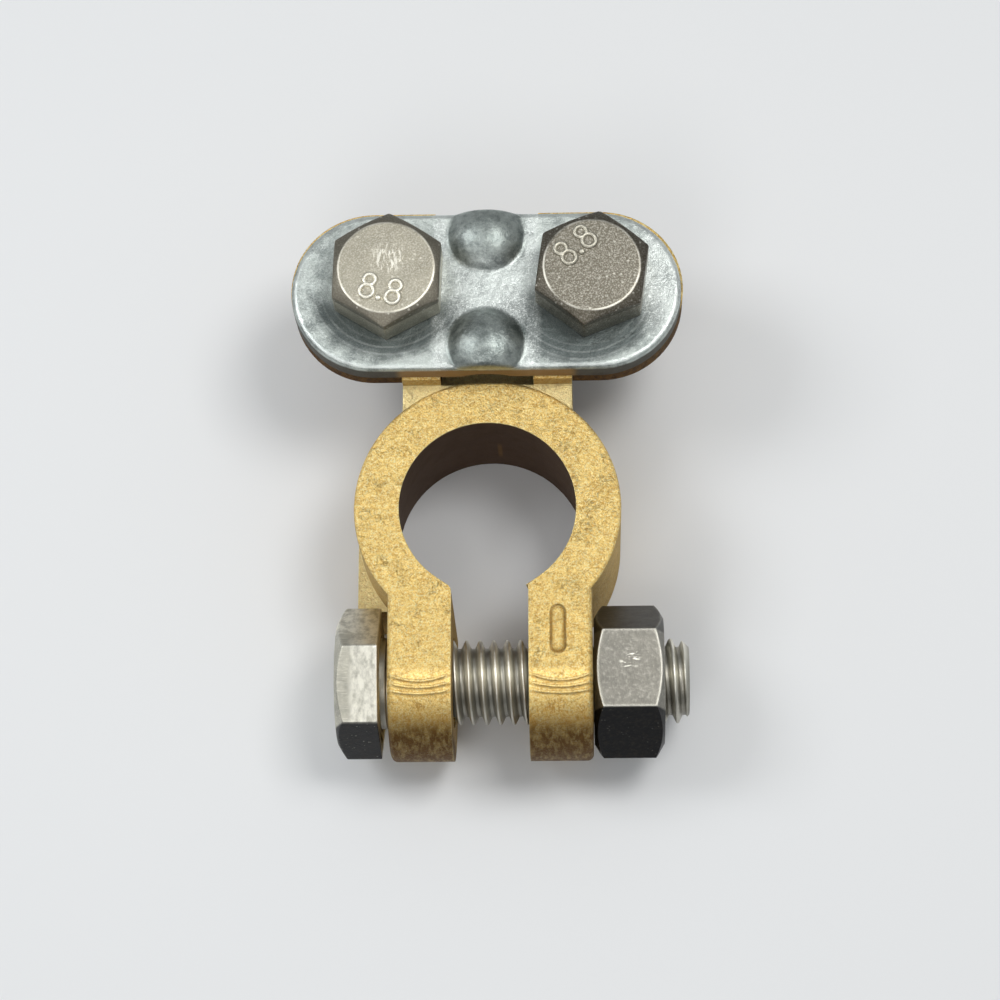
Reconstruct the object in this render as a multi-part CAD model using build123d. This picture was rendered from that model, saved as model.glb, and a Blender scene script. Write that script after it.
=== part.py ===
from build123d import *
import os
from math import acos, atan, atan2, cos, degrees, hypot, pi, radians, sin, sqrt, tan

# Split-ring battery terminal clamp: a cast brass body with a pinch screw through its two ears, and a
# cable bed closed by a pressed steel saddle plate and two screws.
# Frame: origin on the bore axis at the bottom face, +Z up the bore, +Y from the ring to the cable
# bed, +X towards the pinch nut. Millimetres.

# --- cast body: ring and bore ---
HEIGHT = 14.5              # ring and ears, bottom face to top face
RING_R = 12.25
RING_EDGE_R = 0.35
BORE_TOP_R = 8.12          # small end of the tapered bore
BORE_TAPER = 9.0           # 1 : 9 on diameter, the usual taper of battery posts

# --- cast body: ears and the gap between them ---
GAP = 7.0
LIP_Y = -7.45              # where the bore's flat run-outs meet the gap, at the top face
LIP_R = 0.8
EAR_T = 5.8
EARS_X = 0.2               # middle of the gap, off the bore's axis
EAR_EDGE_R = 0.6
PINCH_Y = -14.75           # axis of the pinch screw, and centre of the ears' round ends

# --- cast body: shoulder beside the ring that stops the pinch screw's head from turning ---
SHOULDER_TOP = 7.9
SHOULDER_EDGE_R = 0.5

# --- cast body: neck and cable bed ---
NECK_W = 15.7
NECK_STEP = 0.35           # neck top below ring top
NECK_BOTTOM = 3.0
WEB_W = 11.6               # rib under the bed, between the saddle screws' tips
BED_RISE = 1.6             # bed top above neck top
BED_START_Y = 11.95        # step up from the neck to the bed, and near end of the cable channel
BED_Y = 20.75
BED_L = 36.5
BED_W = 15.4
WING_T = 4.8
WING_EDGE_R = 1.2
BOSS_R = 5.2
BOSS_H = 3.6
CHANNEL_DEPTH = 4.5
CHANNEL_START_W = 8.6      # at the step
CHANNEL_MOUTH_W = 9.7

# --- saddle plate ---
PLATE_T = 2.0
PLATE_INSET = 0.2          # the plate's ends stay this far inside the bed's ends
PLATE_W = 15.5
PLATE_SHIFT = 0.8          # plate centre sits this far towards the ring from the bed's centre
PLATE_RIM_R = 0.6
DOME_HALF_W = 3.5
DOME_H = 1.7
DOME_REACH = 2.4           # centre of each dome in from the plate's long edge
DOME_BLEND_R = 0.6
HOLLOW_HALF_W = 3.3
HOLLOW_H = 1.3

# --- pinch screw and nut, M8 ---
M8_D = 7.8                 # over the thread crests
M8_HEAD_AF = 12.1          # small-series hexagon
M8_HEAD_H = 4.0
M8_NUT_AF = 12.4
M8_NUT_H = 6.4
M8_LENGTH = 28.3
M8_TURN = 14.2             # degrees, head turned from corners level with the axis
M8_NUT_TURN = 2.2          # degrees, nut turned from one flat on top
COLLAR_D = 8.4
COLLAR_L = 0.6
HEAD_GAP = 0.9             # head to left ear, as the clamp stands open
NUT_GAP = 0.1

# --- saddle screws, M6 ---
M6_D = 5.9
M6_AF = 9.8
M6_HEAD_H = 4.0
M6_LENGTH = 14.0
M6_TURNS = (28.0, 22.0)    # degrees, one corner from +X, left and right
SCREW_INSET = 8.85         # bed's end to the middle of its boss
SCREWS_OFFSET = 0.4        # both screws sit this far off the bosses' middles, towards +X

# --- fits and finish shared by the pieces ---
THREAD_CLEARANCE = 0.1     # radial, thread crests to the nut's or the bed's wall
EAR_HOLE_CLEARANCE = 0.35
PLATE_HOLE_CLEARANCE = 0.2
SHOULDER_CLEARANCE = 0.2
CHAMFER_ANGLE = 30.0
CHAMFER_FACE = 0.93        # chamfer circle as a share of the width across flats
TIP_CHAMFER = 0.8
OVERCUT = 1.0              # how far a cutter runs past what it cuts

# --- places that follow from the sizes above ---
PINCH_Z = HEIGHT / 2
EAR_OUT_X = GAP / 2 + EAR_T
NECK_TOP = HEIGHT - NECK_STEP
BED_TOP = NECK_TOP + BED_RISE
BED_END_Y = BED_Y + BED_W / 2
WING_BOTTOM = BED_TOP - WING_T
CHANNEL_FLOOR = BED_TOP - CHANNEL_DEPTH
PLATE_L = BED_L - 2 * PLATE_INSET
PLATE_Y = BED_Y - PLATE_SHIFT
PLATE_TOP = BED_TOP + PLATE_T
HEAD_FACE_X = EARS_X - EAR_OUT_X - HEAD_GAP
NUT_FACE_X = EARS_X + EAR_OUT_X + NUT_GAP
BOSSES_X = (SCREW_INSET - BED_L / 2, BED_L / 2 - SCREW_INSET)
SCREWS_X = (BOSSES_X[0] + SCREWS_OFFSET, BOSSES_X[1] + SCREWS_OFFSET)

ON_BASE = (Align.CENTER, Align.CENTER, Align.MIN)
FROM_Y = (Align.CENTER, Align.MIN, Align.MIN)
CORNER = (Align.MIN, Align.MIN, Align.MIN)


def hex_block(across_flats, height, both_ends=False):
    """Hexagon standing on the XY plane, turned to the usual chamfer on its top or on both ends."""
    corner_r = across_flats / sqrt(3)
    face_r = CHAMFER_FACE * across_flats / 2
    drop = (corner_r - face_r) * tan(radians(CHAMFER_ANGLE))
    low = [(face_r, 0), (corner_r, drop)] if both_ends else [(corner_r, 0)]
    high = [(corner_r, height - drop), (face_r, height)]
    half_section = make_face(Polyline((0, 0), *low, *high, (0, height), close=True))
    turned = revolve(Plane.XZ * half_section, Axis.Z)
    return extrude(RegularPolygon(corner_r, 6), height) & turned


def hex_screw(across_flats, head_h, diameter, length):
    """Hex screw with the underside of its head on the XY plane and its shank down -Z."""
    shank = Pos(0, 0, -length) * Cylinder(diameter / 2, length, align=ON_BASE)
    tip = shank.edges().group_by(Axis.Z)[0].filter_by(GeomType.CIRCLE)
    return hex_block(across_flats, head_h) + chamfer(tip, TIP_CHAMFER)


def stadium(length, width, height):
    return extrude(SlotOverall(length, width), height)


def ring():
    blank = Cylinder(RING_R, HEIGHT, align=ON_BASE)
    return fillet(blank.edges().filter_by(GeomType.CIRCLE), RING_EDGE_R)


def ear():
    """The right ear: straight from inside the ring, then round about the pinch screw's axis."""
    root_y = LIP_Y + LIP_R
    side_view = make_face(
        [
            Line((root_y, 0), (PINCH_Y, 0)),
            ThreePointArc((PINCH_Y, 0), (PINCH_Y - PINCH_Z, PINCH_Z), (PINCH_Y, HEIGHT)),
            Line((PINCH_Y, HEIGHT), (root_y, HEIGHT)),
            Line((root_y, HEIGHT), (root_y, 0)),
        ]
    )
    blank = extrude(Plane.YZ * side_view, EAR_OUT_X)
    outer_face = blank.faces().sort_by(Axis.X)[-1]
    long_edges = [edge for edge in outer_face.edges() if edge.center().Y < root_y]
    return fillet(long_edges, EAR_EDGE_R)


def shoulder():
    """Fills the corner outside the ring down to just clear of the pinch screw's head."""
    corner_r = M8_HEAD_AF / sqrt(3)
    upper_corner = (corner_r * cos(radians(M8_TURN)), PINCH_Z + corner_r * sin(radians(M8_TURN)))
    lower_corner = (
        corner_r * cos(radians(M8_TURN - 60)),
        PINCH_Z + corner_r * sin(radians(M8_TURN - 60)),
    )
    share = (SHOULDER_TOP - lower_corner[1]) / (upper_corner[1] - lower_corner[1])
    head_edge = lower_corner[0] + share * (upper_corner[0] - lower_corner[0])
    low_y = PINCH_Y + head_edge + SHOULDER_CLEARANCE
    block = Pos(-RING_R, low_y, 0) * Box(RING_R - EAR_OUT_X + EAR_T / 2, -low_y, SHOULDER_TOP, align=CORNER)
    outer = block.edges().filter_by(Axis.Z).group_by(Axis.X)[0].sort_by(Axis.Y)[0]
    return fillet(outer, SHOULDER_EDGE_R)


def cable_bed():
    """Neck, raised pad, wings and rib of the bed, with a boss under each saddle screw."""
    neck_h = NECK_TOP - NECK_BOTTOM
    neck = Pos(0, 0, NECK_BOTTOM) * Box(NECK_W, BED_START_Y + WING_EDGE_R, neck_h, align=FROM_Y)
    web = Pos(0, 0, NECK_BOTTOM) * Box(WEB_W, BED_END_Y - WING_EDGE_R, neck_h, align=FROM_Y)
    pad_l = BED_Y - BED_START_Y
    pad = Pos(0, BED_START_Y, WING_BOTTOM) * Box(NECK_W, pad_l, WING_T, align=FROM_Y)
    wings = Pos(0, BED_Y, WING_BOTTOM) * stadium(BED_L, BED_W, WING_T)
    body = fillet(wings.edges().group_by(Axis.Z)[0], WING_EDGE_R) + neck + pad + web
    boss = Cylinder(BOSS_R, BOSS_H + WING_T / 2, align=ON_BASE)
    for x in BOSSES_X:
        body += Pos(x, BED_Y, WING_BOTTOM - BOSS_H) * boss
    return body


def bore_cutter():
    """Tapered bore whose wall runs out tangentially to the gap, leaving a flat lip on each side."""
    draft = atan(1 / (2 * BORE_TAPER))
    lip_r = hypot(GAP / 2, LIP_Y)
    touch = atan2(LIP_Y, GAP / 2) + acos(BORE_TOP_R / lip_r)
    base_r = BORE_TOP_R + (HEIGHT + OVERCUT) * tan(draft)
    inner_x = GAP / 4
    inner_y = (base_r - inner_x * cos(touch)) / sin(touch)
    touch_x, touch_y = base_r * cos(touch), base_r * sin(touch)
    outline = make_face(
        [
            ThreePointArc((touch_x, touch_y), (0, base_r), (-touch_x, touch_y)),
            Line((-touch_x, touch_y), (-inner_x, inner_y)),
            Line((-inner_x, inner_y), (inner_x, inner_y)),
            Line((inner_x, inner_y), (touch_x, touch_y)),
        ]
    )
    return Pos(0, 0, -OVERCUT) * extrude(outline, HEIGHT + 2 * OVERCUT, taper=degrees(draft))


def channel_cutter():
    """Straight-sided cable channel, a little wider at its mouth than at the neck."""
    mouth_y = BED_END_Y + OVERCUT
    outline = Polyline(
        (-CHANNEL_START_W / 2, BED_START_Y),
        (CHANNEL_START_W / 2, BED_START_Y),
        (CHANNEL_MOUTH_W / 2, mouth_y),
        (-CHANNEL_MOUTH_W / 2, mouth_y),
        close=True,
    )
    return Pos(0, 0, CHANNEL_FLOOR) * extrude(make_face(outline), CHANNEL_DEPTH + OVERCUT)


def clamp_body():
    right_ear = ear()
    ears = Pos(EARS_X, 0, 0) * (right_ear + mirror(right_ear, Plane.YZ))
    body = ring() + ears + shoulder() + cable_bed()
    gap_l = LIP_Y - PINCH_Y + PINCH_Z + OVERCUT
    gap = Pos(EARS_X, LIP_Y - gap_l, -OVERCUT) * Box(GAP, gap_l, HEIGHT + 2 * OVERCUT, align=FROM_Y)
    body = body - gap - bore_cutter() - channel_cutter()
    inside = [
        edge
        for edge in body.edges()
        if edge.length > HEIGHT / 2 and abs(abs(edge.center().X - EARS_X) - GAP / 2) < 0.1
        and PINCH_Y < edge.center().Y < 0 and edge.geom_type == GeomType.LINE
        and abs(edge.center().Z - PINCH_Z) < 1
    ]
    body = fillet(inside, LIP_R)
    pinch_hole = Pos(0, PINCH_Y, PINCH_Z) * Rot(0, 90, 0) * Cylinder(
        M8_D / 2 + EAR_HOLE_CLEARANCE, 2 * (EAR_OUT_X + OVERCUT)
    )
    body -= pinch_hole
    tapped = Cylinder(M6_D / 2 + THREAD_CLEARANCE, BOSS_H + WING_T + 2 * OVERCUT, align=ON_BASE)
    for x in SCREWS_X:
        body -= Pos(x, BED_Y, WING_BOTTOM - BOSS_H - OVERCUT) * tapped
    return body


def ball_under(half_w, height):
    """Radius of the ball whose cap is this wide and this high."""
    return (half_w**2 + height**2) / (2 * height)


def dome():
    """Pressed dome over the plate's top plane, blended into it all round."""
    ball_r = ball_under(DOME_HALF_W, DOME_H)
    sunk = ball_r - DOME_H
    foot_x = sqrt((ball_r + DOME_BLEND_R) ** 2 - (sunk + DOME_BLEND_R) ** 2)
    share = ball_r / (ball_r + DOME_BLEND_R)
    touch = (share * foot_x, share * (sunk + DOME_BLEND_R) - sunk)
    lean = atan2(DOME_BLEND_R + sunk, foot_x)
    crown_mid = (ball_r * cos((lean + pi / 2) / 2), ball_r * sin((lean + pi / 2) / 2) - sunk)
    blend_mid = (
        foot_x - DOME_BLEND_R * cos((lean + pi / 2) / 2),
        DOME_BLEND_R - DOME_BLEND_R * sin((lean + pi / 2) / 2),
    )
    half_section = make_face(
        [
            ThreePointArc((0, DOME_H), crown_mid, touch),
            ThreePointArc(touch, blend_mid, (foot_x, 0)),
            Line((foot_x, 0), (foot_x, -PLATE_T / 2)),
            Line((foot_x, -PLATE_T / 2), (0, -PLATE_T / 2)),
            Line((0, -PLATE_T / 2), (0, DOME_H)),
        ]
    )
    return revolve(Plane.XZ * half_section, Axis.Z)


def clamp_plate():
    """Pressed saddle plate: a dome bulges up at the middle of each long edge, cut off by the edge."""
    outline = stadium(PLATE_L, PLATE_W, PLATE_T + 2 * DOME_H)
    plate = stadium(PLATE_L, PLATE_W, PLATE_T)
    domes_y = (DOME_REACH - PLATE_W / 2, PLATE_W / 2 - DOME_REACH)
    for y in domes_y:
        plate += outline & Pos(0, y, PLATE_T) * dome()
    rim = [edge for edge in plate.edges() if is_top_rim(edge)]
    plate = fillet(rim, PLATE_RIM_R)
    hollow_r = ball_under(HOLLOW_HALF_W, HOLLOW_H)
    for y in domes_y:
        plate -= Pos(0, y, HOLLOW_H - hollow_r) * Sphere(hollow_r)
    for x in SCREWS_X:
        plate -= Pos(x, PLATE_SHIFT, 0) * Cylinder(M6_D / 2 + PLATE_HOLE_CLEARANCE, 4 * PLATE_T)
    return Pos(0, PLATE_Y, BED_TOP) * plate


def is_top_rim(edge):
    """True for the edges round the plate's outline at its top, over the domes too."""
    middle = edge.position_at(0.5)
    straight = min(abs(middle.X), (PLATE_L - PLATE_W) / 2)
    from_spine = hypot(abs(middle.X) - straight, middle.Y)
    return middle.Z > PLATE_T - 0.01 and abs(from_spine - PLATE_W / 2) < 0.01


def pinch_bolt():
    screw = hex_screw(M8_HEAD_AF, M8_HEAD_H, M8_D, M8_LENGTH)
    collar = Pos(0, 0, -COLLAR_L) * Cylinder(COLLAR_D / 2, COLLAR_L, align=ON_BASE)
    lying = Rot(0, -90, 0) * Rot(0, 0, 90 - M8_TURN) * (screw + collar)
    return Pos(HEAD_FACE_X, PINCH_Y, PINCH_Z) * lying


def pinch_nut():
    nut = hex_block(M8_NUT_AF, M8_NUT_H, both_ends=True)
    nut -= Cylinder(M8_D / 2 + THREAD_CLEARANCE, 4 * M8_NUT_H)
    return Pos(NUT_FACE_X, PINCH_Y, PINCH_Z) * Rot(0, 90, 0) * Rot(0, 0, 30 + M8_NUT_TURN) * nut


def plate_bolt(x, turn):
    screw = hex_screw(M6_AF, M6_HEAD_H, M6_D, M6_LENGTH)
    return Pos(x, BED_Y, PLATE_TOP) * Rot(0, 0, turn) * screw


PIECES = {
    "clamp_body": clamp_body(),
    "clamp_plate": clamp_plate(),
    "plate_bolt_left": plate_bolt(SCREWS_X[0], M6_TURNS[0]),
    "plate_bolt_right": plate_bolt(SCREWS_X[1], M6_TURNS[1]),
    "pinch_bolt": pinch_bolt(),
    "pinch_nut": pinch_nut(),
}

os.makedirs("parts", exist_ok=True)
for node, shape in PIECES.items():
    export_step(shape, f"parts/{node}.step")
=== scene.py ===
from functools import reduce
from math import atan2, cos, pi, radians, sin, tan

import bpy
import numpy as np
from bpy.props import FloatProperty, FloatVectorProperty, IntProperty, PointerProperty
from bpy.types import Operator, Panel, PropertyGroup
from mathutils import Matrix, Vector


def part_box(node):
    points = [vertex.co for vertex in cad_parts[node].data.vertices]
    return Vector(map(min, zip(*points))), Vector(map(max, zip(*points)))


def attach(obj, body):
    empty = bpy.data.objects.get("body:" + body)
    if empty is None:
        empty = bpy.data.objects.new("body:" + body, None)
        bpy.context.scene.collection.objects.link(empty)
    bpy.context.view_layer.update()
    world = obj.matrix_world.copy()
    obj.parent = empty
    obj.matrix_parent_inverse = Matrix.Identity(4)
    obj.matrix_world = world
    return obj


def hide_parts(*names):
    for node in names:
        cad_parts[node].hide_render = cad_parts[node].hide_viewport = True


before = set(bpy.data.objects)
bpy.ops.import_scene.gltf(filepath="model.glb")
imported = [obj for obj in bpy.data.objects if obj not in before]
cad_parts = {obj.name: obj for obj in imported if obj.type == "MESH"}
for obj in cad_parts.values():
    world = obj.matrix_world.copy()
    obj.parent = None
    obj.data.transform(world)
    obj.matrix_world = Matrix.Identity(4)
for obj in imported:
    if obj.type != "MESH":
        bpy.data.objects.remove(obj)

bl_info = {
    "name": "Battery Terminal Clamp",
    "version": (1, 0, 0),
    "blender": (4, 5, 0),
    "location": "View3D > Sidebar > Clamp",
    "description": "Dresses the clamp: cast brass, zinc-plated plate, threaded screws and nut",
    "category": "Object",
}

MM = 0.001
TURN = 2 * pi

# ---------------------------------------------------------------- places from the frame, in mm


def node_box(node):
    """Lowest and highest corner of a solid at rest."""
    low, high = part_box(node)
    return low / MM, high / MM


def node_middle(node):
    """Middle of a solid's box at rest, which for a hexagon lies on its screw's axis."""
    low, high = node_box(node)
    return (low + high) / 2


NUT_X, PINCH_Y, PINCH_Z = node_middle("pinch_nut")
HEAD_FACE_X = node_box("pinch_bolt")[0].x
SADDLE_AXES = [node_middle(f"plate_bolt_{side}").xy for side in ("left", "right")]
SADDLE_Y = SADDLE_AXES[0].y
HEAD_TOP = node_box("plate_bolt_left")[1].z
PLATE_FRONT_Y, PLATE_BOTTOM = node_box("clamp_plate")[0].yz
EAR_END_Y = node_box("clamp_body")[0].y
RING_TOP = 2 * PINCH_Z

# ---------------------------------------------------------------- other places, in mm

BORE_R = 9.0  # at its wide lower end
LIP_Y = -7.4  # where the bore's walls meet the gap
GAP_X = 0.2  # middle of the gap between the ears
GAP_HALF_W = 3.5
GAP_RIGHT_X = GAP_X + GAP_HALF_W
EAR_OFFSET = 6.4  # from the middle of the gap to the middle of each ear
EARS_X = (GAP_X - EAR_OFFSET, GAP_X + EAR_OFFSET)
SEAM_X, SEAM_Z = 0.9, 5.0  # middle of the mould seam on the bore's far wall
NECK_HALF_W = 7.85
BED_FRONT_Y = 12.6

# the fine casting lines across each ear: how far each one's ends lie beyond the pinch axis, and its bow
CASTING_LINES = ((0.95, 0.6), (1.7, 0.4), (2.35, 0.28))
LINE_HALF_L = 2.75
LINE_BEAD_R = 0.17
LINE_SINK = 0.04
BAR_PLACE = (6.38, -11.6)  # the raised bar on the right ear

PLATE_T = 2.0
PLATE_TOP = PLATE_BOTTOM + PLATE_T
DOMES = ((0, 14.6), (0, 25.3))
DOME_SIDE_X = 4.3  # painted highlight bands beside the domes
BRIGHT_X, BRIGHT_Y = 0.3, 20.0  # brightest painted highlight, between the domes
HEAD_SHADE_SPOTS = ((-9.0, 20.9), (8.8, 20.2))  # painted shade on the plate round the screw heads, in place of dark reflections

HEAD_H = 4.0  # all three hexagon heads
UNDER_HEAD_X = HEAD_FACE_X + HEAD_H
CHAMFER_R = 4.4  # chamfer circle on top of the saddle screws
M6_R = 2.95
HEAD_SCUFFS = (-8.8, 21.7)
NUT_SCRATCHES = (NUT_X, PINCH_Y + 0.55)

# each saddle screw: its hexagon's turn in degrees, its numerals' place from the axis in mm and
# their lean in degrees
SADDLE_SCREWS = {"left": (28.0, (-0.45, -2.1), -15.0), "right": (22.0, (-1.5, 1.95), 42.0)}

# ---------------------------------------------------------------- stage

FLOOR_REACH = 1.5  # metres
FLOOR_DROP = 0.05  # mm that the floor lies below the clamp
FLOOR_COLOUR = (0.78, 0.79, 0.8)
SKY_STOPS = ((0.1, (0.26, 0.27, 0.28)), (0.9, (0.66, 0.68, 0.69)))
SKY_STRENGTH = 0.72
BOX_SIZE = 0.12  # metres, each soft box's side
SOFT_BOXES = {  # place in metres, power in watts, colour
    "key_box": ((0.12, 0.05, 0.32), 0.42, (1.0, 0.99, 0.97)),
    "side_box": ((-0.20, 0.06, 0.26), 0.3, (0.98, 0.99, 1.0)),
    "front_box": ((-0.06, -0.20, 0.28), 0.16, (1.0, 0.98, 0.96)),
}
LIGHT_TARGET = (0, 0, 0.01)  # metres

VIEW_TARGET = (0.946, 2.84, 7.5)  # mm
VIEW_DISTANCE = 280.0  # mm
VIEW_SWING, VIEW_TILT, VIEW_ROLL = 0.098, 0.309, -0.1045  # radians
FOCAL_PX, IMAGE_PX = 2980, 1000  # focal length in pixels of an image this wide
SENSOR_W = 36.0  # mm


# ---------------------------------------------------------------- surfaces


def put_mesh(name, vertices, faces, material, smooth=True):
    """Makes one object from a vertex array and a list of faces and gives it a material."""
    mesh = bpy.data.meshes.new(name)
    mesh.from_pydata(vertices.tolist(), [], faces)
    mesh.polygons.foreach_set("use_smooth", np.full(len(mesh.polygons), smooth))
    mesh.update()
    piece = bpy.data.objects.new(name, mesh)
    bpy.context.scene.collection.objects.link(piece)
    mesh.materials.append(material)
    return piece


def dress(node, material):
    """Gives a solid of the frame its material."""
    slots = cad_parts[node].data.materials
    slots.clear()
    slots.append(material)


def closed_turning(points):
    """Vertices and faces of a grid [row, column] closed round its columns, with a fan over each end."""
    rows, columns = points.shape[:2]
    vertices = np.concatenate([points.reshape(-1, 3), points[:1].mean(1), points[-1:].mean(1)])
    vertex = np.arange(rows * columns).reshape(rows, columns)
    after = np.roll(vertex, -1, axis=1)
    sides = np.stack([vertex[:-1], vertex[1:], after[1:], after[:-1]], -1).reshape(-1, 4)
    middle = np.full(columns, rows * columns)
    first_fan = np.stack([middle, vertex[0], after[0]], -1)
    last_fan = np.stack([middle + 1, after[-1], vertex[-1]], -1)
    return vertices, [*sides.tolist(), *first_fan.tolist(), *last_fan.tolist()]


def joined(parts):
    """One vertex array and one face list from several pairs of them."""
    vertices, faces = [], []
    for more, part_faces in parts:
        shift = sum(map(len, vertices))
        vertices.append(more)
        faces += [[corner + shift for corner in face] for face in part_faces]
    return np.concatenate(vertices), faces


def corner_circle(across_flats, corner_r):
    """Where a hexagon's rounded corners sit: how far the circle's centre lies from the middle, and
    the angle from the corner to where the circle meets the flat."""
    centre = (across_flats / 2 - corner_r) / cos(pi / 6)
    return centre, atan2(corner_r * sin(pi / 6), centre + corner_r * cos(pi / 6))


def hexagon_angles(corner_turn, corner_steps=6, flat_steps=8):
    """Angles round a hexagon, closer together over each rounded corner than along the flats."""
    over = np.linspace(-corner_turn, corner_turn, corner_steps, endpoint=False)
    along = np.linspace(corner_turn, pi / 3 - corner_turn, flat_steps, endpoint=False)
    sector = np.concatenate([over, along])
    return (np.arange(6)[:, None] * pi / 3 + sector).ravel()


def hexagon_radius(angles, across_flats, corner_r):
    """Distance from the middle to a hexagon with rounded corners: half the width across flats over
    the cosine of the angle from the flat's middle, or the far side of the corner's circle."""
    from_corner = (angles + pi / 6) % (pi / 3) - pi / 6
    flat = across_flats / 2 / np.cos(pi / 6 - np.abs(from_corner))
    centre, touch = corner_circle(across_flats, corner_r)
    inside = np.maximum(corner_r**2 - (centre * np.sin(from_corner)) ** 2, 0)
    arc = centre * np.cos(from_corner) + np.sqrt(inside)
    return np.where(np.abs(from_corner) < touch, arc, flat)


def rounded_rows(corners, cut, steps):
    """Rounds the inner corners of profiles [corner, column, (radius, height)]: each corner becomes a
    quadratic curve from the point cut before it to the point cut after it, or 0.45 of a short side."""
    rows = [corners[:1]]
    t = np.linspace(0, 1, steps)[:, None, None]
    for before, corner, after in zip(corners[:-2], corners[1:-1], corners[2:]):
        back, ahead = before - corner, after - corner
        back_l = np.linalg.norm(back, axis=-1, keepdims=True)
        ahead_l = np.linalg.norm(ahead, axis=-1, keepdims=True)
        start = corner + back * np.minimum(cut / back_l, 0.45)
        end = corner + ahead * np.minimum(cut / ahead_l, 0.45)
        rows.append((1 - t) ** 2 * start + 2 * t * (1 - t) * corner + t**2 * end)
    rows.append(corners[-1:])
    return np.concatenate(rows)


def thread_radius(angles, heights, diameter, pitch):
    """Radius of a right-hand thread at each height and angle: a narrow crest keeps the full radius,
    the flanks fall to the root at about 30 degrees from the radius, and their ends are eased."""
    crest, flank, depth = 0.14, 0.62, 0.61 * pitch
    phase = (heights[:, None] / pitch - angles / TURN) % 1
    from_crest = 2 * np.abs(phase - 0.5)
    fall = np.clip((from_crest - crest) / flank, 0, 1)
    eased = fall * fall * (3 - 2 * fall)
    return diameter / 2 - depth * (0.65 * fall + 0.35 * eased)


def hex_screw_grid(screw):
    """Grid of a hex screw, head up from the XY plane and shank down: the head's profile runs from the
    middle of its top over the 30 degree chamfer, down the flats and in under the head, and the
    shank's radius follows the thread to a chamfered tip."""
    touch = corner_circle(screw.across_flats, screw.corner_r)[1]
    unturned = hexagon_angles(max(touch, 0.05))
    angles = unturned + screw.turn
    wall = hexagon_radius(unturned, screw.across_flats, screw.corner_r)
    face_r = np.full_like(wall, screw.chamfer_face * screw.across_flats / 2)
    top = np.full_like(wall, screw.head_height)
    drop = (wall - face_r) * tan(radians(30))
    under = np.zeros_like(wall)
    collar = np.full_like(wall, screw.collar_diameter / 2)
    corners = [(face_r * 0.02, top), (face_r, top), (wall, top - drop), (wall, under), (collar, under)]
    head = rounded_rows(np.array(corners).swapaxes(1, 2), screw.edge_r, 5)
    rings = np.linspace(0.1, 0.95, 8)[:, None] * face_r
    flat_top = np.stack([rings, np.full_like(rings, screw.head_height)], -1)
    steps = int(screw.length / screw.pitch * screw.rows_per_turn)
    heights = -np.linspace(0, screw.length, steps)
    thread = thread_radius(angles, heights, screw.diameter, screw.pitch)
    tip_r = screw.diameter / 2 - screw.tip_chamfer + (heights[:, None] + screw.length)
    plain = heights[:, None] > -screw.collar_length
    radius = np.where(plain, collar, np.minimum(thread, tip_r))
    shank = np.stack([radius, np.broadcast_to(heights[:, None], radius.shape)], -1)
    profile = np.concatenate([head[:1], flat_top, head[1:], shank])
    reach, height = profile[..., 0], profile[..., 1]
    return np.stack([reach * np.cos(angles), reach * np.sin(angles), height], -1)


def bead_loops(loops, bead_r, around=28, across=8):
    """Closed round beads along ellipses in the XY plane, each given by its middle and its two half
    widths: a circle of radius bead_r is carried round each ellipse, square to its path."""
    t = np.arange(around) / around * TURN
    s = np.arange(across) / across * TURN
    x, y, reach_x, reach_y = np.array(loops).T[..., None]
    path = np.stack([x + reach_x * np.cos(t), y + reach_y * np.sin(t)], -1)
    normal = np.stack([reach_y * np.cos(t), reach_x * np.sin(t)], -1)
    normal /= np.linalg.norm(normal, axis=-1, keepdims=True)
    flat = path[:, :, None] + bead_r * np.cos(s)[:, None] * normal[:, :, None]
    height = np.broadcast_to(bead_r * np.sin(s), flat.shape[:3])
    points = np.concatenate([flat, height[..., None]], -1)
    vertex = np.arange(len(loops) * around * across).reshape(-1, around, across)
    along = np.roll(vertex, -1, axis=1)
    faces = np.stack([vertex, along, np.roll(along, -1, axis=2), np.roll(vertex, -1, axis=2)], -1)
    return points.reshape(-1, 3), faces.reshape(-1, 4).tolist()


def pill_grid(length, width, height, steps=20, around=48):
    """Raised bar with round ends: its outline is a stadium, and each row inwards follows a quarter
    circle up to the crown."""
    t = np.arange(around) / around * TURN
    spine = (length - width) / 2 * np.sign(np.round(np.sin(t), 9))
    s = np.linspace(0, pi / 2, steps)[:, None]
    out = np.cos(s) * width / 2
    x = out * np.cos(t)
    y = out * np.sin(t) + spine
    z = np.broadcast_to(np.sin(s) * height, x.shape)
    skirt = np.stack([x[0], y[0], np.full(around, -height)], -1)[None]
    return np.concatenate([skirt, np.stack([x, y, z], -1)])[::-1]


def casting_line(middle_x, beyond, bow):
    """Fine bead across an ear: a circle carried along a line that bows towards the ear's end, keeps
    to the ear's round surface and runs out to nothing at both ends."""
    across = np.linspace(-1, 1, 25)
    x = middle_x + across * LINE_HALF_L
    from_axis = -beyond - bow * (1 - across**2)
    z = PINCH_Z + np.sqrt(PINCH_Z**2 - from_axis**2)
    turn = np.arange(8) / 8 * TURN
    radius = LINE_BEAD_R * np.clip((1 - np.abs(across)) * 6, 0.05, 1)[:, None]
    ring_y = PINCH_Y + from_axis[:, None] + radius * np.cos(turn)
    ring_z = z[:, None] + radius * np.sin(turn) - LINE_SINK
    points = np.stack([np.broadcast_to(x[:, None], ring_y.shape), ring_y, ring_z], -1)
    return closed_turning(points * MM)


def strength_numerals(height, bead):
    """Two eights and a point: each eight is a smaller loop on a larger one."""
    lower, upper = 0.27 * height, 0.22 * height
    step = 0.52 * height
    loops = []
    for across in (-step, step):
        loops += [(across, -upper, 0.27 * height, lower), (across, lower, 0.23 * height, upper)]
    loops.append((0, bead - lower - upper, 0.4 * bead, 0.4 * bead))
    return bead_loops(loops, bead)


# ---------------------------------------------------------------- shader graphs


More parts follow.
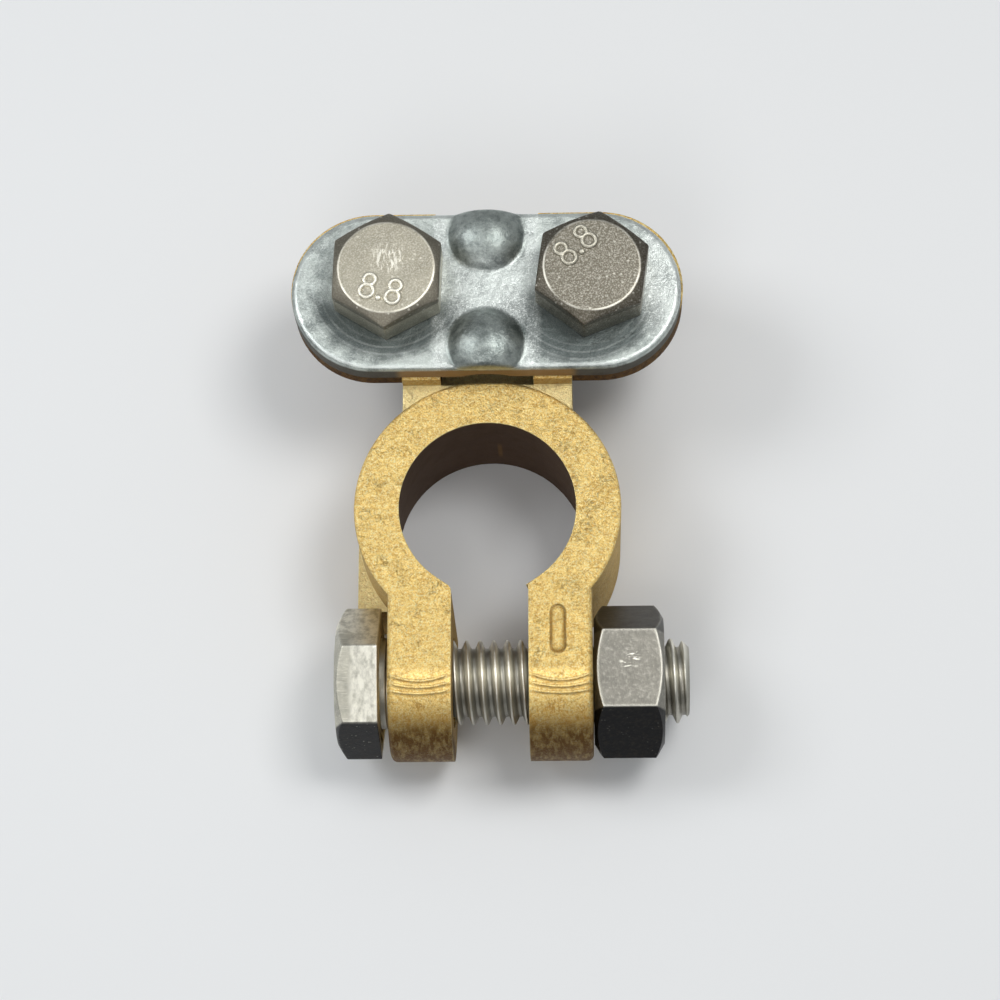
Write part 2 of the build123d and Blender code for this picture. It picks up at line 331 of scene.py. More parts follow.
class Wire:
    """One output socket of a graph. Arithmetic on it adds Math nodes."""

    def __init__(self, graph, socket):
        self.graph, self.socket = graph, socket

    def math(self, operation, *values):
        return self.graph.add("Math", {"operation": operation}, dict(enumerate((self, *values))))

    def __add__(self, other):
        return self.math("ADD", other)

    def __sub__(self, other):
        return self.math("SUBTRACT", other)

    def __mul__(self, other):
        return self.math("MULTIPLY", other)

    def __truediv__(self, other):
        return self.math("DIVIDE", other)

    def __pow__(self, other):
        return self.math("POWER", other)

    __radd__, __rmul__ = __add__, __mul__

    def __rsub__(self, other):
        return self.graph.add("Math", {"operation": "SUBTRACT"}, {0: other, 1: self})

    def size(self):
        return self.math("ABSOLUTE")

    def least(self, other):
        return self.math("MINIMUM", other)

    def most(self, other):
        return self.math("MAXIMUM", other)

    def step(self, low, high):
        """0 below low, 1 above high and eased between; low may be the larger."""
        settings = {"interpolation_type": "SMOOTHSTEP"}
        return self.graph.add("MapRange", settings, {"Value": self, "From Min": low, "From Max": high})

    def near(self, place, inside, outside):
        """1 within inside of a place, 0 beyond outside of it and eased between."""
        return (self - place).size().step(outside, inside)


class Graph:
    """The nodes of a material or a world."""

    def __init__(self, owner):
        owner.use_nodes = True
        self.tree = owner.node_tree

    def add(self, kind, settings, inputs, output=0):
        """Adds one node: settings first, ramp stops among them, then each socket's value or link."""
        node = self.tree.nodes.new("ShaderNode" + kind)
        for key, value in settings.items():
            if key == "stops":
                self.set_stops(node.color_ramp, value)
            else:
                setattr(node, key, value)
        for key, value in inputs.items():
            self.feed(node.inputs[key], value)
        return Wire(self, node.outputs[output])

    def set_stops(self, ramp, stops):
        while len(ramp.elements) < len(stops):
            ramp.elements.new(0.5)
        for element, (place, colour) in zip(ramp.elements, stops):
            element.position, element.color = place, (*colour, 1)

    def feed(self, socket, value):
        """Links a wire to a socket, or sets the socket's own number, vector or colour."""
        if isinstance(value, Wire):
            self.tree.links.new(value.socket, socket)
        elif socket.type == "RGBA":
            socket.default_value = (*value, 1)
        else:
            socket.default_value = value

    def split(self, vector):
        """The three parts of a vector."""
        node = self.add("SeparateXYZ", {}, {0: vector}).socket.node
        return [Wire(self, output) for output in node.outputs]


class Finish(Graph):
    """A new material, whose patterns are laid out in millimetres of the object's own space."""

    def __init__(self, name):
        self.material = bpy.data.materials.new(name)
        super().__init__(self.material)
        place = self.add("TexCoord", {}, {}, "Object")
        self.place = self.add("VectorMath", {"operation": "SCALE"}, {0: place, "Scale": 1 / MM})
        self.xyz = self.split(self.place)

    def facing(self):
        """The surface's direction in the object's own space, as three parts."""
        return self.split(self.add("TexCoord", {}, {}, "Normal"))

    def noise(self, scale, detail=4.0, roughness=0.55, stretch=None, distortion=0.0):
        """Noise of about 0 to 1; scale is its cells per millimetre, and stretch multiplies that along
        each axis."""
        vector = self.place
        if stretch:
            vector = self.add("VectorMath", {"operation": "MULTIPLY"}, {0: vector, 1: stretch})
        look = {"Detail": detail, "Roughness": roughness, "Distortion": distortion}
        return self.add("TexNoise", {}, {"Vector": vector, "Scale": scale, **look})

    def cells(self, scale, output="Distance"):
        """Distance to the nearest of many scattered points, or a colour of each point's own."""
        return self.add("TexVoronoi", {}, {"Vector": self.place, "Scale": scale}, output)

    def mix(self, share, first, second):
        """Colour between two colours; a Mix node's colour sockets are its seventh and eighth."""
        return self.add("Mix", {"data_type": "RGBA"}, {0: share, 6: first, 7: second}, 2)

    def distance(self, *axes):
        """How far each point lies from the nearest of some upright axes, each given by its x and y."""
        x, y, _ = self.xyz
        reaches = [((x - axis_x) ** 2 + (y - axis_y) ** 2) ** 0.5 for axis_x, axis_y in axes]
        return reduce(Wire.least, reaches)

    def rounded(self, radius):
        """The surface's normal with its edges rounded by radius millimetres."""
        return self.add("Bevel", {"samples": 6}, {"Radius": radius * MM})

    def sharp_edges(self, reach):
        """1 along the piece's sharp edges, reach millimetres to either side: how far the rounded
        normal turns away from the face's own."""
        face = self.add("NewGeometry", {}, {}, "True Normal")
        both = {0: self.rounded(reach), 1: face}
        together = self.add("VectorMath", {"operation": "DOT_PRODUCT"}, both, "Value")
        return (1 - together).step(0.01, 0.1)

    def finish(self, colour, roughness, metallic):
        """Feeds the shader's colour, roughness and metallic."""
        shader = self.tree.nodes["Principled BSDF"]
        self.feed(shader.inputs["Base Color"], colour)
        self.feed(shader.inputs["Roughness"], roughness)
        self.feed(shader.inputs["Metallic"], metallic)
        return self.material

    def relief(self, height, depth, soft_edge):
        """Feeds the shader's normal: a bump of the given depth on edges rounded by soft_edge, both in
        millimetres."""
        sizes = {"Distance": depth * MM, "Strength": 1.0}
        bump = self.add("Bump", {}, {"Height": height, "Normal": self.rounded(soft_edge), **sizes})
        self.feed(self.tree.nodes["Principled BSDF"].inputs["Normal"], bump)


def tone(red, green, blue):
    """A display colour of 0 to 255 a channel as the linear colour that nodes take."""
    parts = np.array([red, green, blue]) / 255
    return tuple(np.where(parts <= 0.04045, parts / 12.92, ((parts + 0.055) / 1.055) ** 2.4))


# ---------------------------------------------------------------- cast brass


def bore_wall(g):
    """1 on the bore's wall and its run-outs into the gap, fading in just under the ring's top."""
    x, y, z = g.xyz
    inside = g.distance((0, 0)).step(BORE_R + 0.6, BORE_R - 0.1)
    behind_lips = y.step(LIP_Y - 1.0, LIP_Y + 0.4)
    right_lip = x.step(GAP_RIGHT_X - 0.8, GAP_RIGHT_X - 0.4) * y.step(LIP_Y + 1.0, LIP_Y + 0.5)
    return inside * z.step(RING_TOP - 0.04, RING_TOP - 0.3) * behind_lips * (1 - right_lip)


def casting_line_shadows(g):
    """1 just beyond each casting line, towards the ear's end: a painted shadow under each bead."""
    x, y, _ = g.xyz
    bow = 1 - (((x - GAP_X).size() - EAR_OFFSET) / LINE_HALF_L) ** 2
    grooves = [y.near(PINCH_Y - beyond - 0.2 - sag * bow, 0.04, 0.16) for beyond, sag in CASTING_LINES]
    return reduce(Wire.most, grooves)


def bar_foot_shadow(g, length, width):
    """1 round the foot of the raised bar, a painted shadow: a fixed distance from the spine of its
    stadium.
    """
    x, y, z = g.xyz
    bar_x, bar_y = BAR_PLACE
    beyond_spine = ((y - bar_y).size() - (length - width) / 2).most(0.0)
    from_spine = ((x - bar_x) ** 2 + beyond_spine ** 2) ** 0.5
    return from_spine.near(width / 2 + 0.085, 0.04, 0.16) * z.step(RING_TOP - 0.2, RING_TOP - 0.1)


def mould_seam(g):
    """1 along a faint upright seam on the bore's far wall."""
    x, y, z = g.xyz
    return x.near(SEAM_X, 0.1, 0.3) * z.near(SEAM_Z, 1.0, 3.0) * y.step(BORE_R - 2.0, BORE_R - 1.5)


def cast_brass(settings):
    """Cast brass: wrinkled golden skin with painted highlights and shade in its grain, a dark brown bore,
    side walls in painted shade and partly dirty, painted light behind the ears, painted shadows by the
    casting lines and the bar, and ears whose round ends darken below the casting lines in stained
    streaks and in painted shade."""
    finish = settings.finish
    g = Finish("cast_brass")
    x, y, z = g.xyz
    upward = g.facing()[2]

    # the skin: wrinkles with bright and deep grain, creases and small pits; the bright specks and dark
    # creases are partly painted highlights and shade of the cast relief
    wrinkle = g.noise(2.3, 5, 0.64, distortion=0.6)
    speckle = g.noise(6.5, 4, 0.7)
    creases = (g.noise(1.1, 4, 0.6) - 0.5).size().step(0.03, 0.0) * g.noise(0.6, 2).step(0.48, 0.66)
    pits = g.cells(1.3).step(0.12, 0.05) * g.noise(0.6, 2).step(0.48, 0.6)
    colour = g.mix(0.25 + 0.75 * wrinkle.step(0.3, 0.6), finish.brass_deep, finish.brass)
    colour = g.mix(speckle.step(0.48, 0.64) * 0.75, colour, finish.brass_light)
    colour = g.mix(speckle.step(0.47, 0.35) * 0.6, colour, finish.brass_deep)
    colour = g.mix(creases * 0.16, colour, finish.brass_stain_and_shade)
    # painted light on the upward faces behind the ears, lifting the shade that the ring and the plate cast
    # there
    behind_ears = y.step(PINCH_Y - 0.25, PINCH_Y + 0.75)
    lit_ledges = upward.step(0.8, 0.95) * z.step(RING_TOP - 0.1, RING_TOP - 0.3) * behind_ears
    colour = g.mix(lit_ledges * 0.5, colour, finish.brass_light)

    # where it darkens: the bore and the ears' inner faces, stained streaks on the ear ends, painted shade
    # on the side walls (partly dirt), pits, and painted shadows by the casting lines and the bar
    wall = bore_wall(g)
    streaks = g.noise(1.7, 5, 0.75, stretch=(1.0, 0.4, 0.4))
    round_end = y.step(EAR_END_Y + 5.2, EAR_END_Y + 0.8)
    blotches = y.step(EAR_END_Y + 4.7, EAR_END_Y + 3.6) * streaks.step(0.48, 0.6)
    # stained streaks on the ears' round ends, with painted shade
    ends = (round_end * (0.76 + 0.34 * streaks.step(0.33, 0.67))).most(blotches * 0.8)
    gap_face = (x - GAP_X).size().step(GAP_HALF_W + 0.12, GAP_HALF_W - 0.05)
    inner = gap_face * y.step(LIP_Y, LIP_Y - 0.8) * z.step(RING_TOP - 0.1, RING_TOP - 0.9)
    under_plate = z.step(PLATE_BOTTOM + 0.1, PLATE_BOTTOM - 0.25)
    # painted shade on the side walls below the plate's level, partly dirt, and a painted shadow under the
    # plate's front
    side = upward.step(0.7, 0.2) * under_plate * y.step(PINCH_Y - 1.75, PINCH_Y - 0.25)
    near_bed = y.step(BED_FRONT_Y - 0.2, BED_FRONT_Y + 0.2) * y.step(SADDLE_Y + 2.25, SADDLE_Y - 1.75)
    cloud = g.noise(0.22, 3, 0.5)
    stain_and_shade = wall.most(ends).most(inner * 0.85).most(side * (0.35 + 0.35 * cloud + 0.5 * near_bed))
    # painted shadows round the raised bar and beside the casting lines, and darker pits
    outline = bar_foot_shadow(g, settings.bar_length / MM, settings.bar_width / MM)
    stain_and_shade = stain_and_shade.most(pits * 0.25).most(casting_line_shadows(g) * 0.45).most(outline * 0.7)

    # the darkening's own colour: patchy outside, smooth and darker in the bore
    patchy = streaks.step(0.3, 0.8) * (1 - 0.7 * side) + 0.22 * side * (1 - near_bed)
    dark = g.mix(patchy, finish.brass_stain_and_shade, finish.brass_deep)
    # painted shade, darker towards the bottom of each ear's round end
    dark = g.mix(round_end.step(0.5, 0.95) * 0.8, dark, finish.brass_stain_and_shade)
    smooth_wall = g.mix(g.noise(0.6, 3).step(0.4, 0.7) * 0.5, finish.bore_dark, finish.brass_stain_and_shade)
    dark = g.mix(wall * 0.92, dark, g.mix(mould_seam(g) * 0.18, smooth_wall, finish.brass_deep))
    colour = g.mix(stain_and_shade, colour, dark)

    # bright sharp edges: wear and painted highlights
    below_bed = z.step(PLATE_BOTTOM - 0.05, PLATE_BOTTOM - 0.75)
    worn = g.sharp_edges(0.14) * (1 - wall) * (1 - round_end * 0.6) * below_bed
    colour = g.mix(worn * 0.5, colour, finish.brass_light)
    roughness = 0.32 + 0.14 * wrinkle + 0.18 * stain_and_shade + 0.25 * side
    metallic = 0.8 - 0.35 * wall - 0.4 * side
    rough_skin = (1 - 0.85 * wall) * (1 - 0.5 * y.step(PINCH_Y - 0.25, PINCH_Y - 0.85))
    height = rough_skin * (wrinkle + speckle * 0.6 - pits * 0.7 - creases * 0.2)
    g.relief(height, depth=0.15, soft_edge=0.14)
    return g.finish(colour, roughness, metallic)


# ---------------------------------------------------------------- zinc plate


def zinc_plate(finish):
    """Zinc-plated sheet: cool satin with a fine spangle, painted shade beside the screw heads, darker
    mottled domes with painted highlights between and beside them and on the right end, and a dull sheared
    edge in painted shade with a painted reflection of the brass neck."""
    g = Finish("zinc_plate")
    x, y, z = g.xyz
    spark = g.split(g.cells(8.0, "Color"))[0]
    mist = g.noise(0.5, 5, 0.62)
    fine = g.noise(11.0, 2, 0.6)
    colour = g.mix(mist.step(0.34, 0.62), finish.zinc_deep, finish.zinc)

    # painted shade in front of the screw heads, standing in for dark reflections, with ring-shaped scuffs
    # in it
    near_head = g.distance(*HEAD_SHADE_SPOTS)
    head_shade = (near_head + 1.6 * (mist - 0.5)).step(8.6, 6.6) * y.step(SADDLE_Y, SADDLE_Y - 3.0)
    colour = g.mix(head_shade * (0.86 + 0.25 * mist), colour, finish.zinc_shade)
    rings = (near_head * 9.0).math("SINE").step(0.3, 1.0)
    scuffs = rings * near_head.step(8.6, 7.6) * near_head.step(5.4, 6.2)
    colour = g.mix(scuffs * (mist - 0.2) * 0.3, colour, finish.zinc_light)

    # painted highlights: between the domes, beside them and at the right end
    middle = x.near(BRIGHT_X, 2.4, 4.6) * y.near(BRIGHT_Y, 2.2, 4.2)
    flanks = x.size().near(DOME_SIDE_X, 0.3, 1.0) * (g.noise(0.6, 3) + 0.2).step(0.4, 0.7)
    end = x.step(13.6, 15.6) * y.step(13.5, 18.5)
    bright = middle.most(flanks * (1 - head_shade * 0.6)).most(end)
    sparkle = spark.step(0.25, 0.85) * fine.step(0.4, 0.62)
    colour = g.mix(bright * (0.3 + 0.6 * sparkle), colour, finish.zinc_light)
    colour = g.mix(sparkle * (0.35 - 0.3 * head_shade), colour, finish.zinc_light)

    domes = g.distance(*DOMES).step(4.0, 3.3)
    colour = g.mix(domes * (0.2 + 0.5 * mist), colour, finish.zinc_deep)
    colour = g.mix(domes * g.noise(1.3, 4, 0.65).step(0.62, 0.3) * 0.45, colour, finish.zinc_shade)

    # painted shade on the sheared edge, which is also dull, with a painted reflection of the brass neck; a
    # painted highlight runs along the plate's upper edge
    edge = (z + 0.2 * (mist - 0.5)).step(PLATE_TOP - 0.25, PLATE_TOP - 0.55)
    above_neck = x.size().step(NECK_HALF_W + 0.75, NECK_HALF_W - 0.25)
    neck_reflection = above_neck * y.step(PLATE_FRONT_Y + 1.0, PLATE_FRONT_Y + 0.4)
    sheared = g.mix(neck_reflection, finish.steel_shade, finish.brass_deep)
    colour = g.mix(edge * 0.9, colour, g.mix(0.5, sheared, finish.steel_shade))
    # painted highlight along the plate's upper edge and its sharp edges, partly wear
    rim_highlight = z.step(PLATE_TOP - 0.17, PLATE_TOP - 0.09) * z.step(PLATE_TOP + 0.01, PLATE_TOP - 0.03)
    worn = g.sharp_edges(0.14) * 0.5 * (1 - edge)
    colour = g.mix((rim_highlight * 0.4).most(worn), colour, finish.zinc_light)
    roughness = 0.26 + 0.14 * mist + 0.12 * spark + 0.4 * edge
    height = fine * 0.4 + spark * 0.3 + g.noise(1.0, 3) * 1.4
    g.relief(height, depth=0.05, soft_edge=0.12)
    return g.finish(colour, roughness, 0.92 - 0.6 * edge)


# ---------------------------------------------------------------- steel of the screws and the nut


def plated_steel(name, finish, light, deep):
    """Plated steel of the saddle screws: warm grey fine-grained faces with small bright specks and a
    painted highlight round the chamfer circle, painted shade on the chamfer and the thread roots, scuffs
    on the left head, and painted shade over the right head."""
    g = Finish(name)
    x, _, z = g.xyz
    cloud = g.noise(0.5, 4, 0.55)
    fine = g.noise(7.0, 3, 0.65)
    right_screw = x.step(-1.0, 1.0)
    colour = g.mix(0.25 + 0.5 * cloud, deep, light)
    # painted shade over the right screw's head
    colour = g.mix(right_screw * (1.0 - 0.4 * cloud), colour, deep)
    colour = g.mix(right_screw * (0.2 + 0.4 * cloud), colour, finish.steel_shade)
    colour = g.mix(fine.step(0.42, 0.7) * 0.4, colour, finish.steel_worn_and_highlight)

    from_axis = g.distance(*SADDLE_AXES)
    # painted shade on the chamfer
    chamfer = from_axis.step(CHAMFER_R - 0.02, CHAMFER_R + 0.12) * z.step(HEAD_TOP - 1.45, HEAD_TOP - 1.15)
    colour = g.mix(chamfer * (0.35 + 0.5 * cloud), colour, finish.steel_shade)
    # painted highlight round the chamfer circle
    rim_highlight = from_axis.near(CHAMFER_R, 0.04, 0.13) * z.step(HEAD_TOP - 0.45, HEAD_TOP - 0.25)
    strokes = g.noise(1.0, 3, 0.6, stretch=(4.5, 1.2, 1.0)).step(0.5, 0.6)
    scuffs = strokes * g.distance(HEAD_SCUFFS).step(1.9, 0.8)
    specks = g.cells(1.7).step(0.26, 0.12) * g.noise(0.8, 2).step(0.45, 0.6)
    # wear from scuffs and specks, with the painted highlights round the chamfer circle and along the sharp
    # edges
    worn = (rim_highlight * cloud.step(0.3, 0.65) * 0.6).most(scuffs * 0.8).most(specks * 0.45)
    colour = g.mix(worn.most(g.sharp_edges(0.12) * 0.5), colour, finish.steel_worn_and_highlight)

    # painted shade in the thread roots
    thread = from_axis.step(M6_R + 0.15, M6_R - 0.05) * z.step(PLATE_BOTTOM - 0.75, PLATE_BOTTOM - 1.75)
    roots = thread * from_axis.step(M6_R - 0.1, M6_R - 0.5)
    colour = g.mix(roots * 0.8, colour, finish.steel_shade)
    g.relief(fine * 0.7 + cloud * 0.3 + scuffs * 0.4, depth=0.035, soft_edge=0.08)
    return g.finish(colour, 0.3 + 0.12 * cloud + 0.1 * fine, 0.9)


def facet_steel(name, finish, steel, dim_reflection_from, dark_reflection_from, end_darkening, wear):
    """Steel of the pinch screw and nut: a satin middle facet with bright worn edges and scratches, a
    painted dim reflection on the facet towards the ring, a painted dark reflection on the one away from
    it, end faces darkened alike all over, and painted shade in the thread's roots. The dim and the dark
    reflection start dim_reflection_from and dark_reflection_from millimetres from the pinch axis."""
    g = Finish(name)
    x, y, z = g.xyz
    cloud = g.noise(0.9, 4, 0.55)
    fine = g.noise(2.6, 5, 0.7)
    colour = g.mix(0.1 + 0.8 * cloud, finish.dark_steel_deep, steel)
    colour = g.mix(fine.step(0.46, 0.8) * 0.22, colour, finish.steel_worn_and_highlight)
    colour = g.mix(wear(g).most(g.sharp_edges(0.42) * 0.9), colour, finish.steel_worn_and_highlight)

    # painted dark reflections on two facets of the hexagon, and its end faces darkened
    to_ring, up = y - PINCH_Y, z - PINCH_Z
    from_axis = (to_ring ** 2 + up ** 2) ** 0.5
    head = from_axis.step(4.3, 4.6).most(x.step(UNDER_HEAD_X, UNDER_HEAD_X - 0.1))
    # painted dim reflection on the facet towards the ring
    dull = to_ring.step(dim_reflection_from - 0.12, dim_reflection_from + 0.12) * (0.72 + 0.4 * (cloud - 0.5))
    # painted dark reflection on the facet away from the ring
    black = to_ring.step(0.12 - dark_reflection_from, -0.12 - dark_reflection_from)
    specks = g.cells(2.2).step(0.24, 0.1) * g.noise(0.9, 2).step(0.48, 0.6)
    sideways = g.facing()[0].size().step(0.95, 0.9)
    facet_darkening = (dull.most(black) * sideways + (1 - sideways) * end_darkening) * head * (1 - 0.2 * specks)
    facet_darkening_colour = g.mix(fine.step(0.45, 0.75) * 0.35, finish.near_black, finish.steel_shade)
    colour = g.mix(facet_darkening, colour, facet_darkening_colour)

    # the shank: bright crests, painted shade in the roots, and painted shade away from the ring and on the
    # collar under the head
    crest = 0.28 + 0.72 * from_axis.step(3.05, 3.7)
    shaded = (to_ring.step(0.0, -2.6) * 0.55).most(from_axis.step(3.93, 4.05) * 0.75)
    shank = g.mix(shaded, g.mix(crest, finish.steel_shade, finish.steel_worn_and_highlight), finish.steel_shade)
    colour = g.mix((1 - head) * 0.85, colour, shank)
    g.relief(fine * 0.7 + cloud * 0.4, depth=0.035, soft_edge=0.12)
    return g.finish(colour, 0.3 + 0.12 * cloud + 0.1 * fine, 0.95)


def head_wear(g):
    """Bright patches beside the pinch head's underside and fine tool marks beside its outer face."""
    x, y, _ = g.xyz
    ring_side = y.step(PINCH_Y + 3.25, PINCH_Y + 3.55)
    bright_side = x.step(HEAD_FACE_X + 1.1, HEAD_FACE_X + 1.9).most(ring_side)
    patches = g.noise(1.5, 5, 0.65, stretch=(1.0, 0.5, 1.0)).step(0.3, 0.64) * bright_side
    outer_side = x.step(HEAD_FACE_X + 1.6, HEAD_FACE_X + 1.2)
    marks = g.noise(1.0, 3, 0.7, stretch=(0.6, 9.0, 9.0)).step(0.5, 0.64) * outer_side
    return (patches * 0.65 + 0.1).most(marks * 0.4)


def nut_wear(g):
    """Short scratches on the nut's middle facet."""
    strokes = g.noise(1.0, 3, 0.6, stretch=(1.1, 4.5, 1.0)).step(0.54, 0.62)
    return strokes * g.distance(NUT_SCRATCHES).step(1.2, 0.5) * 0.8


# ---------------------------------------------------------------- settings


def length_setting(name, description, millimetres):
    return FloatProperty(name=name, description=description, default=millimetres * MM,
                         subtype="DISTANCE", unit="LENGTH", precision=5)


def colour_setting(name, description, red, green, blue):
    return FloatVectorProperty(name=name, description=description, default=tone(red, green, blue),
                               subtype="COLOR", size=3, min=0, max=1)


class ScrewSettings(PropertyGroup):
    """Sizes of one hex screw."""

    across_flats: length_setting("Across flats", "Width of the head across its flats", 12.1)
    head_height: length_setting("Head height", "Height of the head", HEAD_H)
    corner_r: length_setting("Corner radius", "Rounding of the head's six upright edges", 0.25)
    edge_r: length_setting("Edge rounding", "Rounding of the head's other edges", 0.14)
    chamfer_face: FloatProperty(name="Chamfer face", description="Chamfer circle over width across flats",
                                default=0.93, min=0.5, max=1.0, subtype="FACTOR")
    diameter: length_setting("Thread diameter", "Over the thread's crests", 7.8)
    pitch: length_setting("Pitch", "Distance from crest to crest", 1.25)
    length: length_setting("Shank length", "From the head's underside to the tip", 28.3)
    collar_diameter: length_setting("Collar diameter", "Plain collar under the head", 8.4)
    collar_length: length_setting("Collar length", "Length of the plain collar", 0.6)
    tip_chamfer: length_setting("Tip chamfer", "Chamfer on the end of the thread", 0.8)
    turn: FloatProperty(name="Turn", description="How far the hexagon is turned about the screw",
                        default=radians(15.8), subtype="ANGLE", unit="ROTATION")
    rows_per_turn: IntProperty(name="Rows per turn", description="Mesh rows on one turn of the thread",
                               default=20, min=8, max=40)


class ClampFinish(PropertyGroup):
    """Colours of the clamp's metals."""

    brass: colour_setting("Brass", "Cast brass", 255, 221, 136)
    # also painted light behind the ears and painted highlights on the grain and along the sharp edges
    brass_light: colour_setting("Brass, bright grain", "Bright specks in the cast brass", 255, 246, 194)
    # also the dark specks, partly painted shade of the cast relief
    brass_deep: colour_setting("Brass, deep grain", "Hollows in the cast brass", 198, 147, 62)
    # the stained colour, also used for the painted shade on the side walls, the ear ends and the creases
    # and for the painted shadows
    brass_stain_and_shade: colour_setting("Brass, stained", "Brown stain on the ears and side walls", 62, 38, 8)
    # the dark brown that the bore is darkened to
    bore_dark: colour_setting("Bore", "Dark stain in the post bore", 78, 56, 40)
    zinc: colour_setting("Zinc", "Plated sheet", 196, 204, 199)
    # also the painted highlights on the plate and along its upper edge
    zinc_light: colour_setting("Zinc, spangle", "Bright crystals in the plating", 248, 253, 250)
    zinc_deep: colour_setting("Zinc, dull", "Dull areas of the plating", 142, 150, 147)
    # painted shade beside the screw heads, also the dark mottling on the domes
    zinc_shade: colour_setting("Zinc, shaded", "Hollows beside the screw heads", 60, 70, 69)
    steel: colour_setting("Screw steel", "Plated screw heads", 206, 200, 180)
    steel_deep: colour_setting("Screw steel, dull", "Dull areas of the screw heads", 132, 126, 112)
    # scuffed steel, also used for the painted highlights round the chamfer circle and on the raised
    # numerals
    steel_worn_and_highlight: colour_setting("Screw steel, worn", "Scuffed bright steel", 252, 249, 236)
    # painted shade colour: chamfers, thread roots, the right saddle screw, the pinch screw's shank and the
    # plate's sheared edge
    steel_shade: colour_setting("Screw steel, shaded", "Chamfers and thread roots", 66, 60, 50)
    pinch_steel: colour_setting("Pinch screw steel", "Bright head of the pinch screw", 214, 211, 194)
    dark_steel: colour_setting("Nut steel", "Satin facet of the nut", 150, 147, 138)
    dark_steel_deep: colour_setting("Nut steel, dull", "Dull areas of the nut and pinch screw", 96, 94, 88)
    # painted dark reflection on the nut's and pinch screw's facets, also darkening the nut's end faces
    near_black: colour_setting("Black coat", "Blackened facets of the nut and pinch screw", 30, 30, 31)


class ClampSettings(PropertyGroup):
    """Everything a user would change."""

    pinch_screw: PointerProperty(type=ScrewSettings, name="Pinch screw")
    saddle_screw: PointerProperty(type=ScrewSettings, name="Saddle screws")
    finish: PointerProperty(type=ClampFinish, name="Finish")
    bar_length: length_setting("Bar length", "Length of the raised bar on the right ear", 4.3)
    bar_width: length_setting("Bar width", "Width of the raised bar", 1.15)
    bar_height: length_setting("Bar height", "Height of the raised bar", 0.5)
    numeral_height: length_setting("Numeral height", "Height of the raised strength numerals", 2.35)
    numeral_bead: length_setting("Numeral bead", "Radius of the numerals' raised bead", 0.24)


def set_saddle_screw(screw):
    """Gives the saddle screws their M6 sizes; the pinch screw keeps the defaults of M8."""
    screw.across_flats, screw.chamfer_face = 9.8 * MM, 0.9
    screw.diameter, screw.pitch, screw.length = 2 * M6_R * MM, 1.0 * MM, 14.0 * MM
    screw.collar_diameter, screw.collar_length = 2 * M6_R * MM, 2.2 * MM
    screw.rows_per_turn = 14


# ---------------------------------------------------------------- operators


class CLAMP_OT_body(Operator):
    """Gives the cast body its brass, the raised bar on the right ear and the fine casting lines"""

    bl_idname = "clamp.body"
    bl_label = "Cast body"

    def execute(self, context):
        settings = context.scene.clamp
        brass = cast_brass(settings)
        dress("clamp_body", brass)
        grid = pill_grid(settings.bar_length, settings.bar_width, settings.bar_height)
        grid = grid + np.array([*BAR_PLACE, RING_TOP]) * MM
        bar = put_mesh("polarity_bar", *closed_turning(grid), brass)
        beads = [casting_line(middle, *line) for middle in EARS_X for line in CASTING_LINES]
        lines = put_mesh("casting_lines", *joined(beads), brass)
        for piece in (bar, lines):
            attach(piece, "body")
        return {"FINISHED"}


class CLAMP_OT_plate(Operator):
    """Gives the saddle plate its zinc plating"""

    bl_idname = "clamp.plate"
    bl_label = "Saddle plate"

    def execute(self, context):
        dress("clamp_plate", zinc_plate(context.scene.clamp.finish))
        return {"FINISHED"}


class CLAMP_OT_saddle_screws(Operator):
    """Makes the two saddle screws with their threads and raised numerals"""

    bl_idname = "clamp.saddle_screws"
    bl_label = "Saddle screws"

    def execute(self, context):
        settings = context.scene.clamp
        finish, sizes = settings.finish, settings.saddle_screw
        steel = plated_steel("screw_steel", finish, finish.steel, finish.steel_deep)
        # the raised numerals are painted brighter than the head: a painted highlight
        bright = plated_steel("numeral_steel", finish, finish.steel_worn_and_highlight, finish.steel)
        for side, axis in zip(SADDLE_SCREWS, SADDLE_AXES):
            turn, offset, lean = SADDLE_SCREWS[side]
            top = np.array([*axis, HEAD_TOP]) * MM
            sizes.turn = radians(turn)
            grid = hex_screw_grid(sizes) + top - [0, 0, sizes.head_height]
            screw = put_mesh(f"saddle_screw_{side}", *closed_turning(grid), steel)
            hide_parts(f"plate_bolt_{side}")
            vertices, faces = strength_numerals(settings.numeral_height, settings.numeral_bead)
            leaning = np.array(Matrix.Rotation(radians(lean), 3, "Z"))
            vertices = vertices @ leaning.T + np.array([*offset, 0]) * MM + top
            marks = put_mesh(f"strength_numerals_{side}", vertices, faces, bright)
            for piece in (screw, marks):
                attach(piece, f"{side}_screw")
        return {"FINISHED"}


class CLAMP_OT_pinch_screw(Operator):
    """Makes the pinch screw with its thread"""

    bl_idname = "clamp.pinch_screw"
    bl_label = "Pinch screw"

    def execute(self, context):
        settings = context.scene.clamp
        finish = settings.finish
        steel = facet_steel("pinch_steel", finish, finish.pinch_steel, dim_reflection_from=6.75, dark_reflection_from=4.85,
                            end_darkening=0.0, wear=head_wear)
        across, along, up = np.moveaxis(hex_screw_grid(settings.pinch_screw), -1, 0)
        lying = np.stack([settings.pinch_screw.head_height - up, along, across], -1)
        lying = lying + np.array([HEAD_FACE_X, PINCH_Y, PINCH_Z]) * MM
        screw = put_mesh("pinch_screw", *closed_turning(lying), steel)
        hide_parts("pinch_bolt")
        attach(screw, "pinch_screw")
        return {"FINISHED"}


class CLAMP_OT_pinch_nut(Operator):
    """Gives the pinch nut its worn steel, with painted dark reflections on two facets"""

    bl_idname = "clamp.pinch_nut"
    bl_label = "Pinch nut"

    def execute(self, context):
        finish = context.scene.clamp.finish
        steel = facet_steel("nut_steel", finish, finish.dark_steel, dim_reflection_from=3.3, dark_reflection_from=3.8,
                            end_darkening=0.7, wear=nut_wear)
        dress("pinch_nut", steel)
        return {"FINISHED"}


